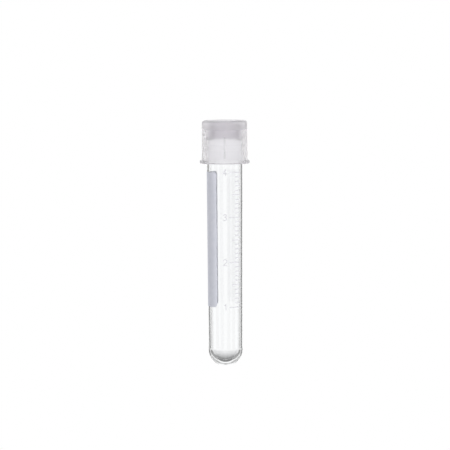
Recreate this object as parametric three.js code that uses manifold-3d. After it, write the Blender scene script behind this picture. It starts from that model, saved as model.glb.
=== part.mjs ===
// A capped culture tube: a clear round-bottom tube printed with a writing patch and a millilitre
// scale, and a translucent two-position snap cap that stands in its upper, vented position.
// Millimetres. +Z runs up the tube's axis from the outside tip of its round bottom, at the origin.
// The numerals face -Y, and azimuths are measured from there towards +X.
import * as THREE from 'three';
import { mergeVertices } from 'three/addons/utils/BufferGeometryUtils.js';
import Module from 'manifold-3d';

// Tube
const TUBE_LENGTH = 75.0;
const RIM_OUTER_R = 5.9;
const RIM_BORE_R = 5.1;
const RIM_ROUND_R = 0.35;
const BOTTOM_OUTER_R = 5.58;
const BOTTOM_BORE_R = 4.6;
const BASE_THICKNESS = 1.6;

// Cap, at its height on the tube in the vented position
const CAP_BOTTOM_Z = 67.05;
const CAP_TOP_Z = 81.15;
const FLANGE_R = 8.2;
const FLANGE_THICKNESS = 1.05;
const FLANGE_EDGE_R = 0.3;
const SKIRT_FOOT_R = 7.52;
const SKIRT_TOP_R = 7.4;
const SKIRT_BORE_R = 6.05;
const SKIRT_EDGE_R = 0.9;
const LEAD_IN = 0.35;
const RECESS_R = 5.75;
const RECESS_FOOT_R = 5.5;
const RECESS_FOOT_Z = 79.0;
const DOME_RISE = 1.4;
const DOME_THICKNESS = 0.75;
const SEAT_Z = 78.4;
const PLUG_BOTTOM_Z = 75.3;
const PLUG_OUTER_R = 4.85;
const PLUG_INNER_R = 4.0;
const PLUG_TIP_R = 4.5;
const BEAD_R = 4.95;
const BEAD_Z = 76.3;
const BEAD_HALF_HEIGHT = 0.4;
const SNAP_RING_R = 5.96;
const SNAP_RING_BOTTOM_Z = 71.4;
const SNAP_RING_TOP_Z = 73.3;
const SNAP_RING_SLOPE = 0.3;
const RIB_COUNT = 6;
const RIB_WIDTH = 0.5;
const RIB_REACH_R = 5.97;
const RIB_ROOT_R = 6.5;
const RIB_BOTTOM_Z = 68.6;
const RIB_TOP_Z = 76.0;

// Print
const INK_GAP = 0.03;
const INK_THICKNESS = 0.06;
const FIRST_MARK_Z = 20.0;
const MARK_PITCH = 14.77;
const FIRST_ML = 1;
const LAST_ML = 4;
const MARKS_PER_ML = 10;
const MARK_WIDTH = 0.3;
const MARK_END_AZIMUTH = 58.5;
const LONG_MARK_AZIMUTH = 13.8;
const MEDIUM_MARK_AZIMUTH = 23.4;
const SHORT_MARK_AZIMUTH = 34.6;
const NUMERAL_HEIGHT = 2.27;
const NUMERAL_WIDTH = 1.4;
const NUMERAL_STROKE = 0.26;
// Shares of half a numeral's width or height: where a stem and a crossbar stand, how far a flag
// reaches, and how big the upper bow of a 3 is.
const STEM_SHARE = 0.35;
const FLAG_SHARE = 0.75;
const CROSSBAR_SHARE = 0.4;
const UPPER_BOW_SHARE = 0.46;
const BOW_OF_TWO = [-35, 165];
const UPPER_BOW_OF_THREE = [-90, 150];
const LOWER_BOW_OF_THREE = [-150, 90];
const PATCH_BOTTOM_Z = 20.0;
const PATCH_TOP_Z = 64.3;
const PATCH_HALF_ANGLE = 61.5;
const PATCH_CORNER_R = 1.0;

// Looks
const CLEAR_PLASTIC = { color: 0xf2f5f7, roughness: 0.08, opacity: 0.3 };
const CLOUDY_PLASTIC = { color: 0xe4e3e7, roughness: 0.45, opacity: 0.8 };
const PATCH_INK = { color: 0xd3d6e2, roughness: 0.7, opacity: 1 };
const MARK_INK = { color: 0xd9dade, roughness: 0.6, opacity: 1 };

// Facets
const ROUND_SEGMENTS = 48;
const BOTTOM_STEPS = 8;
const EDGE_STEPS = 3;
const DOME_STEPS = 4;
const STROKE_ARC_STEP = 20;
const WELD = 1e-4;
const PAST = 8;

const wasm = await Module();
wasm.setup();

const radians = THREE.MathUtils.degToRad;
const point = (x, y) => new THREE.Vector2(x, y);

// Points on an arc about (x, y), counter-clockwise from one angle to another, in degrees.
function arc(x, y, radius, from, to, steps) {
  return Array.from({ length: steps + 1 }, (_, i) => {
    const angle = radians(from + ((to - from) * i) / steps);
    return point(x + radius * Math.cos(angle), y + radius * Math.sin(angle));
  });
}

// Turns a profile of (radius, z) points about +Z. Up the outside and down the inside faces it out.
function turned(profile) {
  return new THREE.LatheGeometry(profile, ROUND_SEGMENTS).rotateX(Math.PI / 2);
}

function toSolid(geometry) {
  geometry.deleteAttribute('normal');
  geometry.deleteAttribute('uv');
  const welded = mergeVertices(geometry, WELD);
  const corners = Array.from(welded.index.array);
  const triangles = [];
  for (let i = 0; i < corners.length; i += 3) {
    const [a, b, c] = corners.slice(i, i + 3);
    if (a !== b && b !== c && c !== a) triangles.push(a, b, c);
  }
  const mesh = new wasm.Mesh({
    numProp: 3,
    vertProperties: new Float32Array(welded.attributes.position.array),
    triVerts: new Uint32Array(triangles),
  });
  return new wasm.Manifold(mesh);
}

function toGeometry(solid) {
  const { vertProperties, triVerts } = solid.getMesh();
  const geometry = new THREE.BufferGeometry();
  geometry.setAttribute('position', new THREE.BufferAttribute(vertProperties, 3));
  geometry.setIndex(new THREE.BufferAttribute(triVerts, 1));
  geometry.computeVertexNormals();
  return geometry;
}

// The tube's outer wall tapers evenly from its rim to the round bottom.
function tubeOuterR(z) {
  const share = (z - BOTTOM_OUTER_R) / (TUBE_LENGTH - RIM_ROUND_R - BOTTOM_OUTER_R);
  return BOTTOM_OUTER_R + (RIM_OUTER_R - BOTTOM_OUTER_R) * share;
}

function tubeSolid() {
  const roundZ = TUBE_LENGTH - RIM_ROUND_R;
  const profile = [
    ...arc(0, BOTTOM_OUTER_R, BOTTOM_OUTER_R, -90, 0, BOTTOM_STEPS),
    ...arc(RIM_OUTER_R - RIM_ROUND_R, roundZ, RIM_ROUND_R, 0, 90, EDGE_STEPS),
    ...arc(RIM_BORE_R + RIM_ROUND_R, roundZ, RIM_ROUND_R, 90, 180, EDGE_STEPS),
    ...arc(0, BASE_THICKNESS + BOTTOM_BORE_R, BOTTOM_BORE_R, 0, -90, BOTTOM_STEPS),
  ];
  return toSolid(turned(profile));
}

// The cap's top plate is a shallow dome. Both of its faces share this centre.
const domeR = (RECESS_FOOT_R ** 2 + DOME_RISE ** 2) / (2 * DOME_RISE);
const domeZ = RECESS_FOOT_Z + DOME_RISE - domeR;

// One face of the dome, from a radius in to its middle or, reversed, from its middle out.
function domeArc(radius, fromR) {
  const from = THREE.MathUtils.radToDeg(Math.acos(fromR / radius));
  return arc(0, domeZ, radius, from, 90, DOME_STEPS);
}

// Under the dome, down inside the hollow plug that enters the bore, and up outside it to its root.
function plugProfile() {
  return [
    ...domeArc(domeR - DOME_THICKNESS, PLUG_INNER_R).reverse(),
    point(PLUG_INNER_R, PLUG_BOTTOM_Z),
    point(PLUG_TIP_R, PLUG_BOTTOM_Z),
    point(PLUG_OUTER_R, BEAD_Z - BEAD_HALF_HEIGHT),
    point(BEAD_R, BEAD_Z),
    point(PLUG_OUTER_R, BEAD_Z + BEAD_HALF_HEIGHT),
    point(PLUG_OUTER_R, SEAT_Z),
  ];
}

// From the seat over the tube's rim, down the skirt's bore and snap ring, and out at the lead-in.
function skirtBoreProfile() {
  return [
    point(SKIRT_BORE_R, SEAT_Z),
    point(SKIRT_BORE_R, SNAP_RING_TOP_Z),
    point(SNAP_RING_R, SNAP_RING_TOP_Z - SNAP_RING_SLOPE),
    point(SNAP_RING_R, SNAP_RING_BOTTOM_Z + SNAP_RING_SLOPE),
    point(SKIRT_BORE_R, SNAP_RING_BOTTOM_Z),
    point(SKIRT_BORE_R, CAP_BOTTOM_Z + LEAD_IN),
    point(SKIRT_BORE_R + LEAD_IN, CAP_BOTTOM_Z),
  ];
}

// Round the flange, up the outside of the skirt, over the top edge, into the recess, over the dome.
function capOutsideProfile() {
  const flangeTopZ = CAP_BOTTOM_Z + FLANGE_THICKNESS;
  const edgeR = FLANGE_R - FLANGE_EDGE_R;
  return [
    ...arc(edgeR, CAP_BOTTOM_Z + FLANGE_EDGE_R, FLANGE_EDGE_R, -90, 0, EDGE_STEPS),
    ...arc(edgeR, flangeTopZ - FLANGE_EDGE_R, FLANGE_EDGE_R, 0, 90, EDGE_STEPS),
    point(SKIRT_FOOT_R, flangeTopZ),
    ...arc(SKIRT_TOP_R - SKIRT_EDGE_R, CAP_TOP_Z - SKIRT_EDGE_R, SKIRT_EDGE_R, 0, 90, EDGE_STEPS),
    point(RECESS_R, CAP_TOP_Z),
    ...domeArc(domeR, RECESS_FOOT_R),
  ];
}

// An upright inner rib that steadies the cap on the tube and leaves air gaps when it is vented.
function ribSolid(azimuth) {
  const height = RIB_TOP_Z - RIB_BOTTOM_Z;
  const rib = new THREE.BoxGeometry(RIB_WIDTH, RIB_ROOT_R - RIB_REACH_R, height);
  rib.translate(0, -(RIB_ROOT_R + RIB_REACH_R) / 2, RIB_BOTTOM_Z + height / 2);
  rib.rotateZ(radians(azimuth));
  return toSolid(rib);
}

function capSolid() {
  const profile = [...plugProfile(), ...skirtBoreProfile(), ...capOutsideProfile()];
  let cap = toSolid(turned(profile));
  for (let i = 0; i < RIB_COUNT; i += 1) {
    cap = cap.add(ribSolid((360 / RIB_COUNT) * i));
  }
  return cap;
}

// The thin skin of ink that every printed shape is cut from. It follows the tube's taper.
function inkSkin() {
  const lowZ = FIRST_MARK_Z - PAST;
  const highZ = TUBE_LENGTH - PAST;
  const inner = (z) => point(tubeOuterR(z) + INK_GAP, z);
  const outer = (z) => point(tubeOuterR(z) + INK_GAP + INK_THICKNESS, z);
  return toSolid(turned([inner(lowZ), outer(lowZ), outer(highZ), inner(highZ), inner(lowZ)]));
}

// A mark's width of wedge between two azimuths, at one height.
function markWedge(z, fromAzimuth, toAzimuth) {
  const wedge = new THREE.Shape([
    point(0, 0),
    ...arc(0, 0, PAST, fromAzimuth - 90, toAzimuth - 90, EDGE_STEPS),
  ]);
  const geometry = new THREE.ExtrudeGeometry(wedge, { depth: MARK_WIDTH, bevelEnabled: false });
  return toSolid(geometry.translate(0, 0, z - MARK_WIDTH / 2));
}

function markStart(step) {
  if (step % MARKS_PER_ML === 0) return LONG_MARK_AZIMUTH;
  return step % (MARKS_PER_ML / 2) === 0 ? MEDIUM_MARK_AZIMUTH : SHORT_MARK_AZIMUTH;
}

// A straight pen stroke between two points, square-ended half a stroke beyond each.
function bar(x0, y0, x1, y1) {
  const along = point(x1 - x0, y1 - y0).normalize().multiplyScalar(NUMERAL_STROKE / 2);
  const across = point(-along.y, along.x);
  const start = point(x0, y0).sub(along);
  const end = point(x1, y1).add(along);
  return new THREE.Shape([
    start.clone().sub(across),
    end.clone().sub(across),
    end.clone().add(across),
    start.clone().add(across),
  ]);
}

// A curved pen stroke about (x, y), counter-clockwise between two angles in degrees.
function bow(x, y, radius, from, to) {
  const steps = Math.ceil((to - from) / STROKE_ARC_STEP);
  return new THREE.Shape([
    ...arc(x, y, radius + NUMERAL_STROKE / 2, from, to, steps),
    ...arc(x, y, radius - NUMERAL_STROKE / 2, to, from, steps),
  ]);
}

// Each numeral's strokes, about its own centre.
const top = (NUMERAL_HEIGHT - NUMERAL_STROKE) / 2;
const side = (NUMERAL_WIDTH - NUMERAL_STROKE) / 2;
const stemX = side * STEM_SHARE;
const flag = side * FLAG_SHARE;
const barY = -top * CROSSBAR_SHARE;
const upperBowR = top * UPPER_BOW_SHARE;
const lowerBowR = top - upperBowR;
const twoBowY = top - side;
const twoNeckAngle = radians(BOW_OF_TWO[0]);
const twoNeckX = side * Math.cos(twoNeckAngle);
const twoNeckY = twoBowY + side * Math.sin(twoNeckAngle);
const NUMERALS = {
  1: [bar(stemX, -top, stemX, top), bar(stemX - flag, top - flag, stemX, top)],
  2: [
    bow(0, twoBowY, side, ...BOW_OF_TWO),
    bar(twoNeckX, twoNeckY, -side, -top),
    bar(-side, -top, side, -top),
  ],
  3: [
    bow(0, top - upperBowR, upperBowR, ...UPPER_BOW_OF_THREE),
    bow(0, lowerBowR - top, lowerBowR, ...LOWER_BOW_OF_THREE),
  ],
  4: [
    bar(stemX, -top, stemX, top),
    bar(stemX, top, -side, barY),
    bar(-side, barY, side, barY),
  ],
};

// A numeral's strokes as one prism that runs from the tube's axis out past its front.
function numeralPrism(strokes, z) {
  const prisms = strokes.map((stroke) => {
    const geometry = new THREE.ExtrudeGeometry(stroke, { depth: PAST, bevelEnabled: false });
    return toSolid(geometry.rotateX(Math.PI / 2).translate(0, 0, z));
  });
  return prisms.reduce((whole, prism) => whole.add(prism));
}

// The patch's outline as seen from -X, with corners that come out round on the curved wall.
function patchPrism() {
  const halfWidth = RIM_OUTER_R * Math.sin(radians(PATCH_HALF_ANGLE));
  const halfHeight = (PATCH_TOP_Z - PATCH_BOTTOM_Z) / 2;
  const cornerX = halfWidth - PATCH_CORNER_R * Math.cos(radians(PATCH_HALF_ANGLE));
  const cornerY = halfHeight - PATCH_CORNER_R;
  const squeeze = (halfWidth - cornerX) / PATCH_CORNER_R;
  const corners = [[1, -1, -90], [1, 1, 0], [-1, 1, 90], [-1, -1, 180]];
  const outline = corners.flatMap(([right, up, from]) =>
    arc(0, 0, PATCH_CORNER_R, from, from + 90, EDGE_STEPS).map(
      ({ x, y }) => point(right * cornerX + x * squeeze, up * cornerY + y),
    ),
  );
  const geometry = new THREE.ExtrudeGeometry(new THREE.Shape(outline), {
    depth: PAST,
    bevelEnabled: false,
  });
  geometry.rotateX(Math.PI / 2).rotateZ(-Math.PI / 2);
  return toSolid(geometry.translate(0, 0, (PATCH_BOTTOM_Z + PATCH_TOP_Z) / 2));
}

function piece(name, solid, { color, roughness, opacity }) {
  const look = new THREE.MeshStandardMaterial({
    color,
    roughness,
    metalness: 0,
    opacity,
    transparent: opacity < 1,
  });
  const mesh = new THREE.Mesh(toGeometry(solid), look);
  mesh.name = name;
  return mesh;
}

const tube = new THREE.Group();
tube.add(piece('tube', tubeSolid(), CLEAR_PLASTIC));

const skin = inkSkin();
tube.add(piece('writing_patch', skin.intersect(patchPrism()), PATCH_INK));
for (let step = FIRST_ML * MARKS_PER_ML; step <= LAST_ML * MARKS_PER_ML; step += 1) {
  const z = FIRST_MARK_Z + (step / MARKS_PER_ML - FIRST_ML) * MARK_PITCH;
  const wedge = markWedge(z, markStart(step), MARK_END_AZIMUTH);
  const name = `mark_${Math.floor(step / MARKS_PER_ML)}_${step % MARKS_PER_ML}_ml`;
  tube.add(piece(name, skin.intersect(wedge), MARK_INK));
}
for (const [digit, strokes] of Object.entries(NUMERALS)) {
  const z = FIRST_MARK_Z + (Number(digit) - FIRST_ML) * MARK_PITCH;
  tube.add(piece(`numeral_${digit}`, skin.intersect(numeralPrism(strokes, z)), MARK_INK));
}

const part = new THREE.Group();
part.add(tube);
part.add(piece('cap', capSolid(), CLOUDY_PLASTIC));

export default part;
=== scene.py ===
"""The looks of a capped culture tube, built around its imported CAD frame.

A clear round-bottom tube carries a printed writing patch and a millilitre scale, and a translucent
snap cap stands in its upper, vented position. Sizes are named in millimetres and built in the frame's
metres, +Z up, with the numerals facing -Y. Azimuths round the object run from -Y towards +X.
"""
import math
from collections import namedtuple

import bmesh
import bpy
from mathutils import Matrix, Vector, noise


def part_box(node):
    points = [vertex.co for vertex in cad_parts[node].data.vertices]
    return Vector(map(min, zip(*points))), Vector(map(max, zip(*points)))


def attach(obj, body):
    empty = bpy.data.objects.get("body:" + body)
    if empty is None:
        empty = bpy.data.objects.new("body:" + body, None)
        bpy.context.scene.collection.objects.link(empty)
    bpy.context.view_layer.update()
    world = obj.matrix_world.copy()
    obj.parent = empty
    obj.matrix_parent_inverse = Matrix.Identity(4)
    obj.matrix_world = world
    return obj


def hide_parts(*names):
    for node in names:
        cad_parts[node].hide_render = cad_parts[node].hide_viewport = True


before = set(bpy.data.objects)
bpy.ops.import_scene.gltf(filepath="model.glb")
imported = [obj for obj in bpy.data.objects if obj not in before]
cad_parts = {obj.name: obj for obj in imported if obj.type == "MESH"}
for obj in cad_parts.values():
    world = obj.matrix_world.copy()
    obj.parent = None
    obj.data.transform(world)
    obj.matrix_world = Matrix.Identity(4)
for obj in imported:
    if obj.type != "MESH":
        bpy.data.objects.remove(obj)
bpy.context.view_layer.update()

MM = 0.001

# The CAD model's own sizes, in millimetres, where its boxes don't give them.
RIM_BORE_R = 5.1
RIM_ROUND_R = 0.35
BOTTOM_OUTER_R = 5.58
BOTTOM_BORE_R = 4.6
BASE_THICKNESS = 1.6
FLANGE_THICKNESS = 1.05
FLANGE_EDGE_R = 0.3
SKIRT_FOOT_R = 7.52
SKIRT_TOP_R = 7.4
SKIRT_BORE_R = 6.05
SKIRT_EDGE_R = 0.9
LEAD_IN = 0.35
RECESS_R = 5.75
RECESS_FOOT_R = 5.5
RECESS_FOOT_Z = 79.0
DOME_RISE = 1.4
DOME_THICKNESS = 0.75
SEAT_Z = 78.4
PLUG_BOTTOM_Z = 75.3
PLUG_OUTER_R = 4.85
PLUG_INNER_R = 4.0
BEAD_R = 4.95
BEAD_Z = 76.3
BEAD_HALF_HEIGHT = 0.4
SNAP_RING_R = 5.96
SNAP_RING_BOTTOM_Z = 71.4
SNAP_RING_TOP_Z = 73.3
RIB_COUNT = 6
RIB_REACH_R = 5.97
RIB_BOTTOM_Z = 68.6
RIB_TOP_Z = 76.0
MARK_WIDTH = 0.3
NUMERAL_HEIGHT = 2.27
NUMERAL_WIDTH = 1.4
NUMERAL_STROKE = 0.26
PATCH_CORNER_R = 1.0

# Shares of half a numeral's width or height: where a stem and a crossbar stand, how far a flag
# reaches, and how big the upper bow of a 3 is. A bow runs between two angles, in degrees.
STEM_SHARE = 0.35
FLAG_SHARE = 0.75
CROSSBAR_SHARE = 0.4
UPPER_BOW_SHARE = 0.46
BOW_OF_TWO = (-35, 165)
UPPER_BOW_OF_THREE = (-90, 150)
LOWER_BOW_OF_THREE = (-150, 90)

# Sizes that the CAD model's boxes give, in millimetres.
TUBE_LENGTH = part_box("tube")[1].z / MM
RIM_OUTER_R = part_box("tube")[1].x / MM
CAP_BOTTOM_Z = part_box("cap")[0].z / MM
CAP_TOP_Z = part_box("cap")[1].z / MM
FLANGE_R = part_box("cap")[1].x / MM

# The mouldings' finer details, in millimetres. The tube has a dimple where its mould was filled, and
# the dimple's shoulder is at shares of its radius and depth. The cap's corners are rounded, its snap
# ring bulges with a power of the height, and its slim upright ribs fade in at their ends and have a
# groove along each side.
GATE_R = 0.55
GATE_DEPTH = 0.25
GATE_SHOULDER = (0.6, 0.85)
PLUG_INNER_LIP_R = 0.2
PLUG_OUTER_LIP_R = 0.35
SEAT_CORNER_R = 0.25
FLANGE_CORNER_R = 0.2
RECESS_EDGE_R = 0.25
SNAP_RING_SQUARENESS = 4
RIB_HALF_WIDTH = 0.1
RIB_GROOVE = 0.12
RIB_END = 0.3
RIB_SPACING = 2 * math.pi / RIB_COUNT

# The ink is a film that stands just off the wall. Each RAG is a size and an amount, in millimetres, by
# which a print's edges wander.
INK_GAP = 0.02
INK_THICKNESS = 0.05
MARK_RAG = (0.35, 0.02)
NUMERAL_RAG = (0.3, 0.02)
PATCH_RAG = (0.8, 0.03)
RAG_LAYER = 7.3

# How finely the mouldings are made: segments round the tube, directions round the cap that are close
# together at each rib, steps to a curve, and lengths in millimetres. A long straight run is cut up,
# with short pieces at its ends.
TUBE_SEGMENTS = 192
RIB_FINE_STEP = math.radians(0.4)
RIB_FINE_STEPS = 10
CAP_STEPS_BETWEEN = 17
ROUND_STEPS = 40
EDGE_STEPS = 12
CORNER_STEPS = EDGE_STEPS // 2
BEAD_STEP_DEGREES = 15
BORE_STEP = 0.25
RUN_STEP = 1.5
RUN_END = 0.06
LONG_RUN = 4 * RUN_END
TOUCHING = 1e-6
SHARP_ANGLE = math.radians(35)

# How finely the prints are made: their grids' cells and how far a grid reaches past its print, in
# millimetres, and the least share of a cell's side that the print's outline cuts off.
MARK_CELL = 0.06
NUMERAL_CELL = 0.04
PATCH_CELL = 0.2
PRINT_MARGIN = 0.1
CUT_MARGIN = 0.02


# ---------------------------------------------------------------- turned shapes


def arc(x, y, radius, start, end, steps):
    """Points on an arc about (x, y), from one angle to another in degrees."""
    angles = (math.radians(start + (end - start) * i / steps) for i in range(steps + 1))
    return [(x + radius * math.cos(a), y + radius * math.sin(a)) for a in angles]


def finished(name, bm):
    """The bmesh as a smooth-shaded object, with edges over SHARP_ANGLE kept crisp."""
    bmesh.ops.recalc_face_normals(bm, faces=bm.faces)
    for face in bm.faces:
        face.smooth = True
    for edge in bm.edges:
        if len(edge.link_faces) == 2 and edge.calc_face_angle() > SHARP_ANGLE:
            edge.smooth = False
    mesh = bpy.data.meshes.new(name)
    bm.to_mesh(mesh)
    bm.free()
    piece = bpy.data.objects.new(name, mesh)
    bpy.context.scene.collection.objects.link(piece)
    return piece


def dense(profile):
    """The profile with its long straight runs cut up, closely next to their ends.

    A smooth face takes its corners' normals, so a long one beside a curve would bend light all along.
    """
    points = [profile[0]]
    for (r0, z0), (r1, z1) in zip(profile, profile[1:]):
        length = math.hypot(r1 - r0, z1 - z0)
        if length > LONG_RUN:
            middle = length - 2 * RUN_END
            pieces = math.ceil(middle / RUN_STEP)
            inner = [RUN_END + middle * i / pieces for i in range(pieces + 1)]
            points += [(r0 + (r1 - r0) * d / length, z0 + (z1 - z0) * d / length) for d in inner]
        points.append((r1, z1))
    return points


def turned(name, profile, azimuths, inset=None):
    """Turns a profile of (radius, z) millimetre points that starts and ends on the axis about +Z.

    inset(radius, z, azimuth) may move a point of the wall in towards the axis, for ribs.
    """
    bm = bmesh.new()
    segments = len(azimuths)
    rings = []
    for radius, z in dense(profile):
        if radius < TOUCHING:
            rings.append([bm.verts.new((0, 0, z * MM))])
            continue
        ring = []
        for azimuth in azimuths:
            r = (radius - (inset(radius, z, azimuth) if inset else 0)) * MM
            ring.append(bm.verts.new((r * math.sin(azimuth), -r * math.cos(azimuth), z * MM)))
        rings.append(ring)
    for low, high in zip(rings, rings[1:]):
        for i in range(segments):
            j = (i + 1) % segments
            corners = [low[i % len(low)], low[j % len(low)], high[j % len(high)], high[i % len(high)]]
            bm.faces.new(list(dict.fromkeys(corners)))
    return finished(name, bm)


def tube_outer_r(z):
    """The outer wall's radius at height z, all in millimetres: an even taper from rim to bottom."""
    share = (z - BOTTOM_OUTER_R) / (TUBE_LENGTH - RIM_ROUND_R - BOTTOM_OUTER_R)
    return BOTTOM_OUTER_R + (RIM_OUTER_R - BOTTOM_OUTER_R) * share


def tube_profile():
    """The tube's outline, from the small gate dimple in the round bottom to the rim and back inside."""
    round_z = TUBE_LENGTH - RIM_ROUND_R
    gate_edge = math.degrees(math.asin(GATE_R / BOTTOM_OUTER_R)) - 90
    shoulder_r, shoulder_depth = GATE_SHOULDER
    return [
        (0, GATE_DEPTH),
        (GATE_R * shoulder_r, GATE_DEPTH * shoulder_depth),
        *arc(0, BOTTOM_OUTER_R, BOTTOM_OUTER_R, gate_edge, 0, ROUND_STEPS),
        *arc(RIM_OUTER_R - RIM_ROUND_R, round_z, RIM_ROUND_R, 0, 90, EDGE_STEPS),
        *arc(RIM_BORE_R + RIM_ROUND_R, round_z, RIM_ROUND_R, 90, 180, EDGE_STEPS),
        *arc(0, BASE_THICKNESS + BOTTOM_BORE_R, BOTTOM_BORE_R, 0, -90, ROUND_STEPS),
    ]


def dome_arc(radius, from_r, dome_z):
    """One face of the cap's domed plate, from a distance off the axis in to its middle."""
    start = math.degrees(math.acos(from_r / radius))
    return arc(0, dome_z, radius, start, 90, ROUND_STEPS // 2)


def bore_r(z):
    """The radius of the skirt's bore at height z: plain, and narrower over the rounded snap ring."""
    middle = (SNAP_RING_BOTTOM_Z + SNAP_RING_TOP_Z) / 2
    half = (SNAP_RING_TOP_Z - SNAP_RING_BOTTOM_Z) / 2
    share = max(0.0, 1 - ((z - middle) / half) ** SNAP_RING_SQUARENESS)
    return SKIRT_BORE_R - (SKIRT_BORE_R - SNAP_RING_R) * share


def corner(radius, z, out, up, corner_r, start, end):
    """A corner's rounding, with its centre corner_r out from radius and up from z, either way."""
    return arc(radius + out * corner_r, z + up * corner_r, corner_r, start, end, CORNER_STEPS)


def bead_arc():
    """The rounded face of the plug's sealing bead."""
    width = BEAD_R - PLUG_OUTER_R
    angles = [math.radians(t) for t in range(-90, 91, BEAD_STEP_DEGREES)]
    return [(PLUG_OUTER_R + width * math.cos(a), BEAD_Z + BEAD_HALF_HEIGHT * math.sin(a)) for a in angles]


def cap_profile():
    """The cap's outline: down in its plug, up to the seat, down its bore and back up its outside."""
    dome_r = (RECESS_FOOT_R**2 + DOME_RISE**2) / (2 * DOME_RISE)
    dome_z = RECESS_FOOT_Z + DOME_RISE - dome_r
    flange_top = CAP_BOTTOM_Z + FLANGE_THICKNESS
    flange_in = FLANGE_R - FLANGE_EDGE_R
    bore_low = CAP_BOTTOM_Z + LEAD_IN
    steps = round((SEAT_Z - bore_low) / BORE_STEP)
    heights = [SEAT_Z + (bore_low - SEAT_Z) * i / steps for i in range(steps + 1)]
    return [
        *reversed(dome_arc(dome_r - DOME_THICKNESS, PLUG_INNER_R, dome_z)),
        *corner(PLUG_INNER_R, PLUG_BOTTOM_Z, 1, 1, PLUG_INNER_LIP_R, 180, 270),
        *corner(PLUG_OUTER_R, PLUG_BOTTOM_Z, -1, 1, PLUG_OUTER_LIP_R, 270, 330),
        *bead_arc(),
        *corner(PLUG_OUTER_R, SEAT_Z, 1, -1, SEAT_CORNER_R, 180, 90),
        *[(bore_r(z), z) for z in heights],
        (SKIRT_BORE_R + LEAD_IN, CAP_BOTTOM_Z),
        *arc(flange_in, CAP_BOTTOM_Z + FLANGE_EDGE_R, FLANGE_EDGE_R, -90, 0, EDGE_STEPS),
        *arc(flange_in, flange_top - FLANGE_EDGE_R, FLANGE_EDGE_R, 0, 90, EDGE_STEPS),
        *corner(SKIRT_FOOT_R, flange_top, 1, 1, FLANGE_CORNER_R, 270, 180),
        *arc(SKIRT_TOP_R - SKIRT_EDGE_R, CAP_TOP_Z - SKIRT_EDGE_R, SKIRT_EDGE_R, 0, 90, EDGE_STEPS),
        *corner(RECESS_R, CAP_TOP_Z, 1, -1, RECESS_EDGE_R, 90, 175),
        *dome_arc(dome_r, RECESS_FOOT_R, dome_z),
    ]


def rib_inset(radius, z, azimuth):
    """How far the upright inner ribs stand in from the skirt's bore at this point, in millimetres.

    A shallow groove runs along each side of a rib, so it is less than nothing there.
    """
    if abs(radius - bore_r(z)) > TOUCHING:
        return 0.0
    off = abs((azimuth + RIB_SPACING / 2) % RIB_SPACING - RIB_SPACING / 2) * radius / RIB_HALF_WIDTH
    rib = max(0.0, 1 - off**2) * max(0.0, radius - RIB_REACH_R)
    groove = RIB_GROOVE * math.sin(math.pi * min(1.0, max(0.0, off - 1)))
    along = min(1.0, max(0.0, (z - RIB_BOTTOM_Z) / RIB_END), max(0.0, (RIB_TOP_Z - z) / RIB_END))
    return (rib - groove) * along


def cap_azimuths():
    """Directions round the cap, close together at each inner rib."""
    fine = [RIB_FINE_STEP * i for i in range(RIB_FINE_STEPS)]
    first, last = fine[-1], RIB_SPACING / 2
    coarse = [first + (last - first) * i / CAP_STEPS_BETWEEN for i in range(1, CAP_STEPS_BETWEEN + 1)]
    half = fine + coarse
    sector = half + [RIB_SPACING - a for a in reversed(half[1:-1])]
    return [RIB_SPACING * i + a for i in range(RIB_COUNT) for a in sector]


# ---------------------------------------------------------------- printed ink


def clipped_cells(inside, u_span, v_span, cell):
    """Marching squares: (points, faces) of the area where inside(u, v) is negative."""
    columns = max(2, round((u_span[1] - u_span[0]) / cell))
    rows = max(2, round((v_span[1] - v_span[0]) / cell))
    us = [u_span[0] + (u_span[1] - u_span[0]) * i / columns for i in range(columns + 1)]
    vs = [v_span[0] + (v_span[1] - v_span[0]) * j / rows for j in range(rows + 1)]
    depth = [[inside(u, v) for v in vs] for u in us]
    points, index, faces = [], {}, []

    def at(key, point):
        if key not in index:
            index[key] = len(points)
            points.append(point)
        return index[key]

    def crossing(a, b):
        first, second = sorted((a, b))
        da, db = depth[first[0]][first[1]], depth[second[0]][second[1]]
        t = min(1 - CUT_MARGIN, max(CUT_MARGIN, da / (da - db)))
        u = us[first[0]] + (us[second[0]] - us[first[0]]) * t
        v = vs[first[1]] + (vs[second[1]] - vs[first[1]]) * t
        return at((first, second), (u, v))

    for i in range(columns):
        for j in range(rows):
            corners = [(i, j), (i + 1, j), (i + 1, j + 1), (i, j + 1)]
            face = []
            for a, b in zip(corners, corners[1:] + corners[:1]):
                a_in, b_in = depth[a[0]][a[1]] < 0, depth[b[0]][b[1]] < 0
                if a_in:
                    face.append(at(a, (us[a[0]], vs[a[1]])))
                if a_in != b_in:
                    face.append(crossing(a, b))
            if len(face) > 2:
                faces.append(face)
    return points, faces


def printed(name, inside, u_span, v_span, cell):
    """A thin film of ink on the tube's wall where inside(u, v) is negative.

    u is the distance round the rim's circle from the front, towards +X, and v the height, in millimetres.
    """
    points, faces = clipped_cells(inside, u_span, v_span, cell)
    bm = bmesh.new()

    def on_wall(u, v, lift):
        azimuth = u / RIM_OUTER_R
        r = (tube_outer_r(v) + lift) * MM
        return bm.verts.new((r * math.sin(azimuth), -r * math.cos(azimuth), v * MM))

    inner = [on_wall(u, v, INK_GAP) for u, v in points]
    outer = [on_wall(u, v, INK_GAP + INK_THICKNESS) for u, v in points]
    sides = {}
    for face in faces:
        bm.faces.new([outer[i] for i in face])
        bm.faces.new([inner[i] for i in reversed(face)])
        for a, b in zip(face, face[1:] + face[:1]):
            sides[(a, b)] = sides.get((a, b), 0) + 1
    for a, b in sides:
        if (b, a) not in sides:
            bm.faces.new([inner[a], inner[b], outer[b], outer[a]])
    return finished(name, bm)


def ragged(u, v, size, amount):
    """The small unevenness of a printed edge."""
    return amount * noise.noise(Vector((u / size, v / size, RAG_LAYER)))


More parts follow.
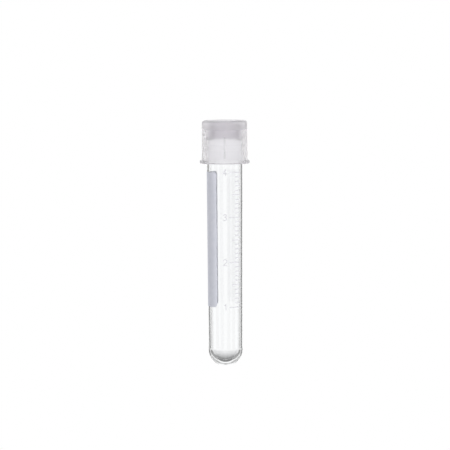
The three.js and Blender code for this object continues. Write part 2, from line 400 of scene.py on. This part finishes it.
def segment_distance(u, v, start, end):
    """Distance from (u, v) to the straight pen line from start to end."""
    du, dv = end[0] - start[0], end[1] - start[1]
    t = ((u - start[0]) * du + (v - start[1]) * dv) / (du * du + dv * dv)
    t = min(1.0, max(0.0, t))
    return math.hypot(u - start[0] - du * t, v - start[1] - dv * t)


def bow_distance(u, v, centre, radius, start, end):
    """Distance from (u, v) to the curved pen line about centre, between two angles in degrees."""
    angle = math.degrees(math.atan2(v - centre[1], u - centre[0]))
    turn = (angle - start) % 360
    if turn <= end - start:
        return abs(math.hypot(u - centre[0], v - centre[1]) - radius)
    tips = [math.radians(start), math.radians(end)]
    return min(
        math.hypot(u - centre[0] - radius * math.cos(t), v - centre[1] - radius * math.sin(t))
        for t in tips
    )


def numeral_strokes(digit):
    """The numeral's straight and curved pen lines, about its own centre."""
    top = (NUMERAL_HEIGHT - NUMERAL_STROKE) / 2
    side = (NUMERAL_WIDTH - NUMERAL_STROKE) / 2
    stem, flag, bar = side * STEM_SHARE, side * FLAG_SHARE, -top * CROSSBAR_SHARE
    upper = top * UPPER_BOW_SHARE
    lower = top - upper
    turn = math.radians(BOW_OF_TWO[0])
    neck = (side * math.cos(turn), top - side + side * math.sin(turn))
    lines = {
        1: [((stem, -top), (stem, top)), ((stem - flag, top - flag), (stem, top))],
        2: [(neck, (-side, -top)), ((-side, -top), (side, -top))],
        3: [],
        4: [((stem, -top), (stem, top)), ((stem, top), (-side, bar)), ((-side, bar), (side, bar))],
    }[digit]
    bows = {
        2: [((0, top - side), side, *BOW_OF_TWO)],
        3: [
            ((0, top - upper), upper, *UPPER_BOW_OF_THREE),
            ((0, lower - top), lower, *LOWER_BOW_OF_THREE),
        ],
    }.get(digit, [])
    return lines, bows


def wall_span(node):
    """A printed CAD node's place on the wall: its u span and its v span, in millimetres."""
    low, high = (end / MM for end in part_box(node))
    r = tube_outer_r((low.z + high.z) / 2)
    first = math.atan2(low.x, math.sqrt(max(0.0, r * r - low.x * low.x)))
    last = math.atan2(high.x, math.sqrt(max(0.0, r * r - high.x * high.x)))
    return (first * RIM_OUTER_R, last * RIM_OUTER_R), (low.z, high.z)


def printed_mark(node):
    """One graduation line, with round ends and a slightly uneven edge."""
    (u0, u1), (v0, v1) = wall_span(node)
    middle, half = (v0 + v1) / 2, MARK_WIDTH / 2
    start, end = (u0 + half, middle), (u1 - half, middle)

    def inside(u, v):
        return segment_distance(u, v, start, end) - half + ragged(u, v, *MARK_RAG)

    u_span = (u0 - PRINT_MARGIN, u1 + PRINT_MARGIN)
    v_span = (v0 - PRINT_MARGIN, v1 + PRINT_MARGIN)
    return printed(node + "_print", inside, u_span, v_span, MARK_CELL)


def printed_numeral(node, digit):
    """One numeral, level with its whole millilitre's mark."""
    low, high = (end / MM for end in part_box(node))
    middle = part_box(f"mark_{digit}_0_ml")[0].z / MM + MARK_WIDTH / 2
    reach = NUMERAL_HEIGHT / 2 + PRINT_MARGIN
    lines, bows = numeral_strokes(digit)

    def inside(u, v):
        found = [segment_distance(u, v - middle, *line) for line in lines]
        found += [bow_distance(u, v - middle, *bow) for bow in bows]
        return min(found) - NUMERAL_STROKE / 2 + ragged(u, v, *NUMERAL_RAG)

    u_span = (low.x - PRINT_MARGIN, high.x + PRINT_MARGIN)
    return printed(node + "_print", inside, u_span, (middle - reach, middle + reach), NUMERAL_CELL)


def printed_patch(node):
    """The writing patch: a panel with round corners, wrapped about -X."""
    low, high = (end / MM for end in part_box(node))
    half_u = math.asin(high.y / (RIM_OUTER_R + INK_GAP)) * RIM_OUTER_R
    centre_u = -math.pi / 2 * RIM_OUTER_R
    centre_v, half_v = (low.z + high.z) / 2, (high.z - low.z) / 2

    def inside(u, v):
        du = abs(u - centre_u) - half_u + PATCH_CORNER_R
        dv = abs(v - centre_v) - half_v + PATCH_CORNER_R
        out = math.hypot(max(du, 0), max(dv, 0)) + min(max(du, dv), 0)
        return out - PATCH_CORNER_R + ragged(u, v, *PATCH_RAG)

    reach_u, reach_v = half_u + 2 * PRINT_MARGIN, half_v + 2 * PRINT_MARGIN
    u_span = (centre_u - reach_u, centre_u + reach_u)
    return printed(node + "_print", inside, u_span, (centre_v - reach_v, centre_v + reach_v), PATCH_CELL)


# ---------------------------------------------------------------- materials


class Sums:
    """Short calls for arithmetic nodes in one node tree."""

    def __init__(self, tree):
        self.tree = tree

    def do(self, operation, *values):
        """The outcome of one operation on values that are numbers or other nodes' sockets."""
        node = self.tree.nodes.new("ShaderNodeMath")
        node.operation = operation
        for socket, value in zip(node.inputs, values):
            if isinstance(value, (int, float)):
                socket.default_value = value
            else:
                self.tree.links.new(value, socket)
        return node.outputs[0]

    def smooth(self, value, start, end, low, high):
        """low below start, high above end, and a smooth change between them."""
        node = self.tree.nodes.new("ShaderNodeMapRange")
        node.interpolation_type = "SMOOTHSTEP"
        for name, number in (("From Min", start), ("From Max", end), ("To Min", low), ("To Max", high)):
            node.inputs[name].default_value = number
        self.tree.links.new(value, node.inputs["Value"])
        return node.outputs["Result"]


class Nodes:
    """A material's node tree with short calls for adding and linking nodes."""

    def __init__(self, name):
        self.material = bpy.data.materials.new(name)
        self.material.use_nodes = True
        self.tree = self.material.node_tree
        self.tree.nodes.clear()

    def add(self, kind, values=None, **links):
        """A node with values for its settings and inputs, and with links into its inputs."""
        node = self.tree.nodes.new("ShaderNode" + kind)
        for key, value in (values or {}).items():
            if hasattr(node, key):
                setattr(node, key, value)
            else:
                node.inputs[key].default_value = value
        for key, socket in links.items():
            self.tree.links.new(socket, node.inputs[key.replace("_", " ")])
        return node

    def link(self, source, target):
        self.tree.links.new(source, target)

    def position(self, scale):
        """The object's own coordinates, stretched by scale."""
        place = self.add("TexCoord").outputs["Object"]
        return self.add("Mapping", {"Scale": scale}, Vector=place).outputs["Vector"]

    def noise(self, vector, scale, detail):
        """A noise texture's value, with features about 1/scale metres across."""
        values = {"Scale": scale, "Detail": detail, "Roughness": 0.55}
        return self.add("TexNoise", values, Vector=vector).outputs["Fac"]

    def ranged(self, value, low, high):
        """value, a noise that runs about 0.2 to 0.8, brought to low to high."""
        values = {"From Min": 0.2, "From Max": 0.8, "To Min": low, "To Max": high}
        return self.add("MapRange", values, Value=value).outputs["Result"]

    def tinted(self, value, dark, light):
        """A colour that goes from dark to light as value goes from 0.3 to 0.7."""
        ramp = self.add("ValToRGB", {}, Fac=value)
        ramp.color_ramp.elements[0].position = 0.3
        ramp.color_ramp.elements[1].position = 0.7
        ramp.color_ramp.elements[0].color = (*dark, 1)
        ramp.color_ramp.elements[1].color = (*light, 1)
        return ramp.outputs["Color"]

    def bump(self, height, distance):
        return self.add("Bump", {"Strength": 1.0, "Distance": distance}, Height=height).outputs["Normal"]

    def finish(self, surface, cloudiness=None):
        """The finished material. cloudiness is the colour and density of what absorbs light inside it."""
        out = self.add("OutputMaterial")
        self.link(surface, out.inputs["Surface"])
        if cloudiness:
            color, density = cloudiness
            inside = self.add("VolumeAbsorption", {"Color": color, "Density": density})
            self.link(inside.outputs[0], out.inputs["Volume"])
        return self.material


# A rougher surface than this no longer gives sharp rays, and would hide the studio's gaps.
MOST_HAZE = 0.0035


def clear_polystyrene():
    """Glass-clear moulded polystyrene with faint upright flow lines and a hint of handling haze."""
    n = Nodes("clear_polystyrene")
    flow = n.noise(n.position((1, 1, 0.12)), scale=420, detail=2.0)
    haze = n.noise(n.position((1, 1, 0.6)), scale=900, detail=4.0)
    bsdf = n.add(
        "BsdfPrincipled",
        {"Base Color": (0.985, 0.99, 0.993, 1), "IOR": 1.59, "Transmission Weight": 1.0},
        Roughness=n.ranged(haze, 0.0, MOST_HAZE),
        Normal=n.bump(flow, distance=6e-6),
    )
    return n.finish(bsdf.outputs["BSDF"])


# The frosted plastic's roughness in the skirt's bore and on the outside, how much rougher its top is,
# and how much its clouds vary it. Each change takes place over one or a few BLENDs, in millimetres.
BORE_ROUGH = 0.34
OUTSIDE_ROUGH = 0.25
TOP_ROUGH = 0.08
CLOUD_ROUGH = 0.02
BLEND = 0.1

# The colour of the painted shade in the groove over the rim, how far towards that painted shade the top
# goes, and what absorbs light inside it.
PAINTED_SHADE_COLOR = (0.8, 0.785, 0.815, 1)
TOP_PAINTED_SHADE_SHARE = 0.35
CLOUD_COLOR = (0.2, 0.15, 0.22, 1)
CLOUD_DENSITY = 36.0

# A Mix node's colour sockets go by place, because its sockets for numbers have the same names.
MIX_FIRST, MIX_SECOND, MIX_OUT = 6, 7, 2


def frosted_polyethylene():
    """Natural polyethylene: cloudy, satin, slightly violet, with moulding grain and flow clouds.

    Its base colour carries painted shade: darkest in the groove over the tube's rim, where the plug
    crowds the skirt, and a little darker in its top, which is also rougher than the rest of it.
    """
    n = Nodes("frosted_polyethylene")
    clouds = n.noise(n.position((1, 1, 0.6)), scale=260, detail=3.0)
    grain = n.noise(n.position((1, 1, 1)), scale=9000, detail=2.0)
    place = n.add("SeparateXYZ", {}, Vector=n.position((1, 1, 1)))
    sums = Sums(n.tree)
    x, y, z = (place.outputs[axis] for axis in "XYZ")
    radius = sums.do("SQRT", sums.do("ADD", sums.do("MULTIPLY", x, x), sums.do("MULTIPLY", y, y)))

    def change(value, start, end, low, high):
        return sums.smooth(value, start * MM, end * MM, low, high)

    inside = change(radius, SKIRT_BORE_R + BLEND, SKIRT_BORE_R + 2 * BLEND, 1.0, 0.0)
    outside = change(radius, BEAD_R + BLEND, BEAD_R + 3 * BLEND, 0.0, 1.0)
    over_rim = change(z, PLUG_BOTTOM_Z - BLEND, PLUG_BOTTOM_Z, 0.0, 1.0)
    under_plate = change(z, SEAT_Z - BLEND, SEAT_Z + BLEND, 1.0, 0.0)
    height = sums.do("MULTIPLY", over_rim, under_plate)
    # Painted shade: the groove over the rim, between plug and skirt, takes the darker base colour.
    groove = sums.do("MULTIPLY", sums.do("MULTIPLY", inside, outside), height)
    # Painted shade: the top, above the seat, goes part of the way to the darker base colour.
    top_painted_shade = change(z, SEAT_Z - BLEND, SEAT_Z + BLEND, 0.0, TOP_PAINTED_SHADE_SHARE)
    painted_shade_mix = n.add("Mix", {"data_type": "RGBA"})
    n.link(sums.do("ADD", groove, top_painted_shade), painted_shade_mix.inputs["Factor"])
    hazy = n.tinted(clouds, dark=(0.97, 0.962, 0.975), light=(0.983, 0.975, 0.986))
    n.link(hazy, painted_shade_mix.inputs[MIX_FIRST])
    painted_shade_mix.inputs[MIX_SECOND].default_value = PAINTED_SHADE_COLOR
    satin = change(radius, SKIRT_BORE_R + BLEND, SKIRT_BORE_R + 3 * BLEND, BORE_ROUGH, OUTSIDE_ROUGH)
    top_rough = change(z, SEAT_Z - 4 * BLEND, SEAT_Z + 4 * BLEND, 0.0, TOP_ROUGH)
    cloud_rough = n.ranged(clouds, -CLOUD_ROUGH, CLOUD_ROUGH)
    bsdf = n.add(
        "BsdfPrincipled",
        {
            "IOR": 1.36,
            "Transmission Weight": 0.98,
            "Coat Weight": 0.15,
            "Coat Roughness": 0.08,
            "Coat IOR": 1.5,
        },
        Roughness=sums.do("ADD", cloud_rough, sums.do("ADD", satin, top_rough)),
        Normal=n.bump(grain, distance=4e-7),
    )
    n.link(painted_shade_mix.outputs[MIX_OUT], bsdf.inputs["Base Color"])
    return n.finish(bsdf.outputs["BSDF"], cloudiness=(CLOUD_COLOR, CLOUD_DENSITY))


INK_ROUGH_SPREAD = 0.08


def ink(name, dark, light, roughness):
    """Matt screen-printed ink with fine grain and uneven coverage."""
    n = Nodes(name)
    coverage = n.noise(n.position((1, 1, 1)), scale=700, detail=4.0)
    grain = n.noise(n.position((1, 1, 1)), scale=12000, detail=2.0)
    bsdf = n.add(
        "BsdfPrincipled",
        {"IOR": 1.45},
        Roughness=n.ranged(coverage, roughness - INK_ROUGH_SPREAD, roughness + INK_ROUGH_SPREAD),
        Normal=n.bump(grain, distance=6e-6),
    )
    n.link(n.tinted(coverage, dark, light), bsdf.inputs["Base Color"])
    return n.finish(bsdf.outputs["BSDF"])


# ---------------------------------------------------------------- studio

# The world is white, with dark gaps that make the clear plastic's thin dark edge lines. A set of gaps
# repeats every GAP_PERIOD, so that each side of the object looks alike. It spans lowest to highest in
# elevation and half_width to each side of first in azimuth, with a soft top edge, all in degrees. It
# darkens only rays that have passed through a number of surfaces from fewest to most.
GapSet = namedtuple("GapSet", "lowest highest softness first half_width fewest most darkness")
WALL_LINES = (
    GapSet(-12.0, 12.0, 1.0, 25.0, 13.0, 1, 3, 1.0),
    GapSet(-12.0, 12.0, 1.0, 65.0, 13.0, 1, 3, 1.0),
)
BOTTOM_LINES = (
    GapSet(-34.0, -13.0, 1.0, 0.0, 12.0, 1, 3, 0.45),
    GapSet(-48.0, -16.0, 8.0, 45.0, 22.0, 1, 3, 0.7),
    GapSet(-85.0, -46.0, 6.0, 0.0, 44.0, 1, 3, 0.85),
)
BASE_CRESCENT = (
    GapSet(-54.0, -11.0, 28.0, 0.0, 22.0, 4, 4, 0.9),
    GapSet(-54.0, -28.0, 6.0, 0.0, 44.0, 4, 4, 0.9),
)
GAP_PERIOD = math.radians(90)
GAP_SIDE_SOFT = math.radians(1)
GAP_LOW_SOFT_DEGREES = 1.0
WHOLE_TURNS = 4 * math.pi

# How bright the world is to rays that left a matt surface, how much more it gives those that then
# pass through clear plastic, and the floor's radius in metres.
FILL_LIGHT = 0.55
INSIDE_LIGHT = 1.0
FLOOR_RADIUS = 3.0

# Square lamps: name, place in metres, side in metres, power in watts.
LAMPS = (
    ("key", (0.55, -0.8, 0.35), 0.5, 9.5),
    ("fill", (-0.75, 0.6, 0.4), 0.6, 3.5),
)


def gaps(sums, azimuth, height, walls, gap):
    """How dark one set of gaps makes a direction, from 0 to 1. height is the direction's z."""
    half = math.radians(gap.half_width)
    # Whole turns keep the angle above zero, because MODULO keeps a negative angle's sign.
    angle = sums.do("ADD", azimuth, WHOLE_TURNS - math.radians(gap.first) + GAP_PERIOD / 2)
    within = sums.do("SUBTRACT", sums.do("MODULO", angle, GAP_PERIOD), GAP_PERIOD / 2)
    off = sums.do("ABSOLUTE", within)
    across = sums.smooth(off, half - GAP_SIDE_SOFT, half + GAP_SIDE_SOFT, 1.0, 0.0)
    edges = (gap.lowest - GAP_LOW_SOFT_DEGREES, gap.lowest, gap.highest - gap.softness, gap.highest)
    low_start, low, high, high_end = (math.sin(math.radians(edge)) for edge in edges)
    above = sums.smooth(height, low_start, low, 0.0, 1.0)
    below = sums.smooth(height, high, high_end, gap.darkness, 0.0)
    enough = sums.do("GREATER_THAN", walls, gap.fewest - 0.5)
    near = sums.do("MULTIPLY", enough, sums.do("LESS_THAN", walls, gap.most + 0.5))
    return sums.do("MULTIPLY", sums.do("MULTIPLY", across, near), sums.do("MULTIPLY", above, below))


def surroundings():
    """A white world whose dark gaps are seen only by sharp rays that have come through the clear tube.

    Light that reaches the inks' inner faces through the wall is raised, as if some came through the ink.
    """
    world = bpy.data.worlds.new("studio")
    bpy.context.scene.world = world
    world.use_nodes = True
    tree = world.node_tree
    tree.nodes.clear()
    sums = Sums(tree)
    direction = tree.nodes.new("ShaderNodeTexCoord").outputs["Generated"]
    parts = tree.nodes.new("ShaderNodeSeparateXYZ")
    tree.links.new(direction, parts.inputs[0])
    azimuth = sums.do("ARCTAN2", parts.outputs["X"], parts.outputs["Y"])
    path = tree.nodes.new("ShaderNodeLightPath")
    walls = path.outputs["Transmission Depth"]
    dark = 0.0
    for gap in WALL_LINES + BOTTOM_LINES + BASE_CRESCENT:
        dark = sums.do("MAXIMUM", dark, gaps(sums, azimuth, parts.outputs["Z"], walls, gap))
    shown = sums.do("MULTIPLY", dark, path.outputs["Is Singular Ray"])
    lit = sums.do("SUBTRACT", 1.0, sums.do("MULTIPLY", path.outputs["Is Diffuse Ray"], 1 - FILL_LIGHT))
    bounced = sums.do("MINIMUM", path.outputs["Diffuse Depth"], 1.0)
    inside = sums.do("MULTIPLY", sums.do("MINIMUM", walls, 1.0), bounced)
    lit = sums.do("ADD", lit, sums.do("MULTIPLY", inside, INSIDE_LIGHT))
    background = tree.nodes.new("ShaderNodeBackground")
    background.inputs["Color"].default_value = (1, 1, 1, 1)
    brightness = sums.do("MULTIPLY", lit, sums.do("SUBTRACT", 1.0, shown))
    tree.links.new(brightness, background.inputs["Strength"])
    out = tree.nodes.new("ShaderNodeOutputWorld")
    tree.links.new(background.outputs[0], out.inputs["Surface"])


def white_floor():
    """A round white floor. Only the camera sees it, so that the gaps also show from below the horizon."""
    n = Nodes("white_floor")
    floor_material = n.finish(n.add("Emission", {"Color": (1, 1, 1, 1), "Strength": 1.0}).outputs[0])
    bm = bmesh.new()
    bmesh.ops.create_circle(bm, cap_ends=True, segments=96, radius=FLOOR_RADIUS)
    floor = finished("floor", bm)
    floor.data.materials.append(floor_material)
    for rays in ("diffuse", "glossy", "transmission", "shadow"):
        setattr(floor, "visible_" + rays, False)


def lamp(name, place, side, watts):
    """A square lamp aimed at the middle of the tube. Only matt surfaces are lit by it."""
    data = bpy.data.lights.new(name, "AREA")
    data.shape = "SQUARE"
    data.size = side
    data.energy = watts
    light = bpy.data.objects.new(name, data)
    light.location = place
    target = Vector((0, 0, TUBE_LENGTH / 2 * MM))
    light.rotation_euler = (target - Vector(place)).to_track_quat("-Z", "Y").to_euler()
    light.visible_glossy = False
    light.visible_transmission = False
    bpy.context.scene.collection.objects.link(light)


def studio():
    surroundings()
    white_floor()
    for one in LAMPS:
        lamp(*one)


# ---------------------------------------------------------------- camera

# Places and clipping distances are in metres, and the lens and sensor in millimetres.
CAMERA_PLACE = Vector((0.0, -0.89, 0.115))
CAMERA_TARGET = Vector((0.0, 0.0, 0.0467))
CAMERA_LENS = 217.0
CAMERA_SENSOR = 36.0
CAMERA_CLIP = (0.01, 20.0)
CAMERA_ROLL = math.radians(-0.3)
LONGEST_PATH = 32


def camera():
    data = bpy.data.cameras.new("camera")
    data.lens = CAMERA_LENS
    data.sensor_width = CAMERA_SENSOR
    data.clip_start, data.clip_end = CAMERA_CLIP
    eye = bpy.data.objects.new("camera", data)
    bpy.context.scene.collection.objects.link(eye)
    eye.location = CAMERA_PLACE
    look = (CAMERA_TARGET - CAMERA_PLACE).to_track_quat("-Z", "Y").to_euler()
    look.rotate_axis("Z", CAMERA_ROLL)
    eye.rotation_euler = look
    bpy.context.scene.camera = eye


def render_quality():
    """Light paths long enough to see through the cap's and the tube's nested walls."""
    scene = bpy.context.scene
    scene.view_settings.view_transform = "Standard"
    scene.cycles.max_bounces = LONGEST_PATH
    scene.cycles.transmission_bounces = LONGEST_PATH
    scene.cycles.glossy_bounces = 8
    scene.cycles.caustics_refractive = True
    scene.cycles.caustics_reflective = True
    scene.cycles.use_denoising = True


# ---------------------------------------------------------------- assembly


def dress(piece, material, body, node):
    """Gives a piece its material, its body and the CAD node that it stands in for."""
    piece.data.materials.append(material)
    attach(piece, body)
    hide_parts(node)


def mouldings():
    around = [2 * math.pi * i / TUBE_SEGMENTS for i in range(TUBE_SEGMENTS)]
    tube = turned("tube_moulding", tube_profile(), around)
    dress(tube, clear_polystyrene(), "tube", "tube")
    cap = turned("cap_moulding", cap_profile(), cap_azimuths(), rib_inset)
    dress(cap, frosted_polyethylene(), "cap", "cap")


def prints():
    patch_ink = ink("patch_ink", dark=(0.66, 0.675, 0.75), light=(0.72, 0.73, 0.8), roughness=0.7)
    dress(printed_patch("writing_patch"), patch_ink, "tube", "writing_patch")
    mark_ink = ink("mark_ink", dark=(0.5, 0.5, 0.53), light=(0.6, 0.6, 0.63), roughness=0.6)
    for node in sorted(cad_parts):
        if node.startswith("mark_"):
            dress(printed_mark(node), mark_ink, "tube", node)
        if node.startswith("numeral_"):
            piece = printed_numeral(node, int(node[-1]))
            dress(piece, mark_ink, "tube", node)


def main():
    camera()
    studio()
    render_quality()
    mouldings()
    prints()


main()
